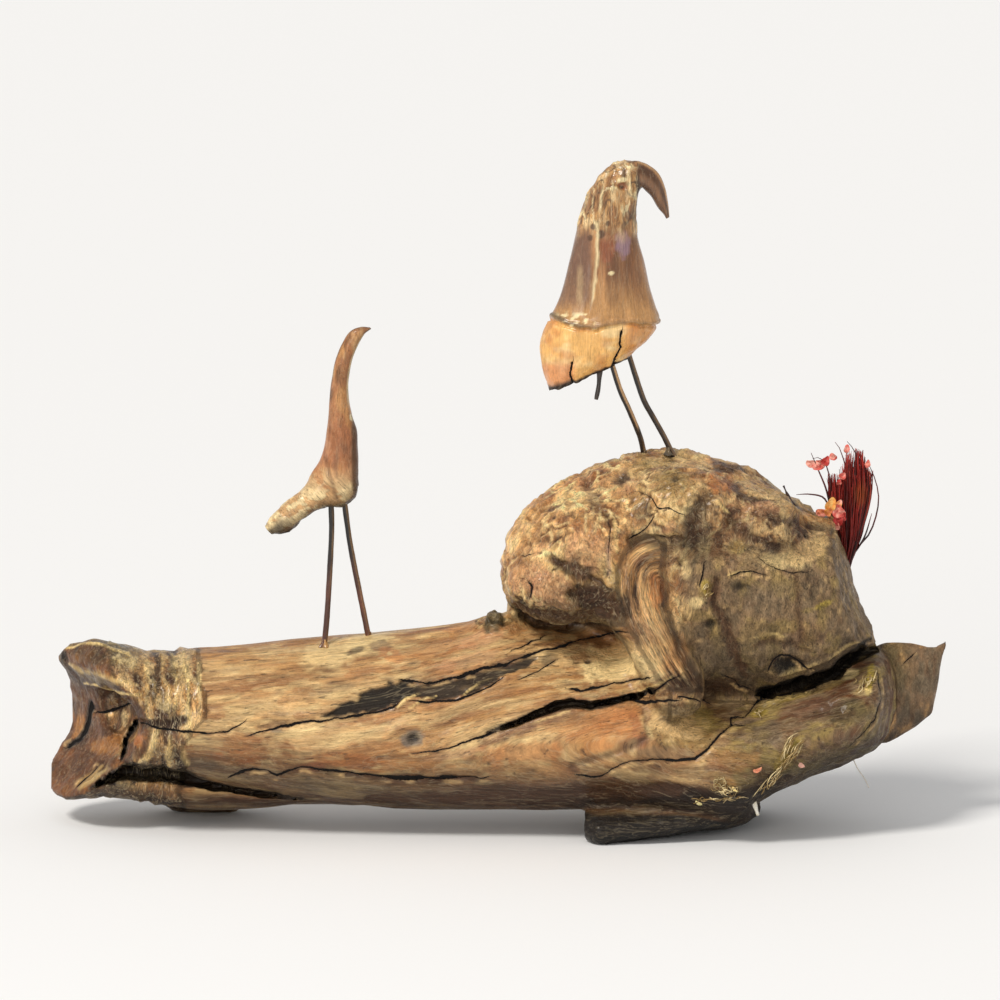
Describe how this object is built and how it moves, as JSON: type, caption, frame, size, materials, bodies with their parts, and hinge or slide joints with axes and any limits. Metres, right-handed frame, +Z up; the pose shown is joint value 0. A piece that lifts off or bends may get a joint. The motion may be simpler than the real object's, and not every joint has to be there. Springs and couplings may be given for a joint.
{
  "type": "driftwood bird sculpture",
  "caption": "Carved driftwood birds on wire legs standing on a burled driftwood log with a tuft of dyed dried grass.",
  "frame": {"origin": "on the surface that it stands on, under the middle of the whole piece", "axes": "+X along the log towards the burl and the fin, +Y from the front to the back, +Z up"},
  "size_m": [0.3021, 0.0772, 0.2292],
  "materials": {
    "driftwood": "weathered, satin varnish",
    "left_bird": "varnished",
    "right_bird": "glossy varnish",
    "wire": "dark lacquered iron wire",
    "grass": "dyed dried grass",
    "petal": "dried petal",
    "chip": "pale bare wood"
  },
  "bodies": {
    "root": {"driftwood": "driftwood", "left_bird": "left_bird", "right_bird": "right_bird", "left_bird_leg_left": "wire", "left_bird_leg_right": "wire", "right_bird_leg_left": "wire", "right_bird_leg_right": "wire", "right_bird_spur": "wire", "red_grass": "grass", "loose_stem": "grass", "petal_high": "petal", "petal_orange": "petal", "petal_coral": "petal", "pale_chip": "chip"}
  },
  "joints": []
}
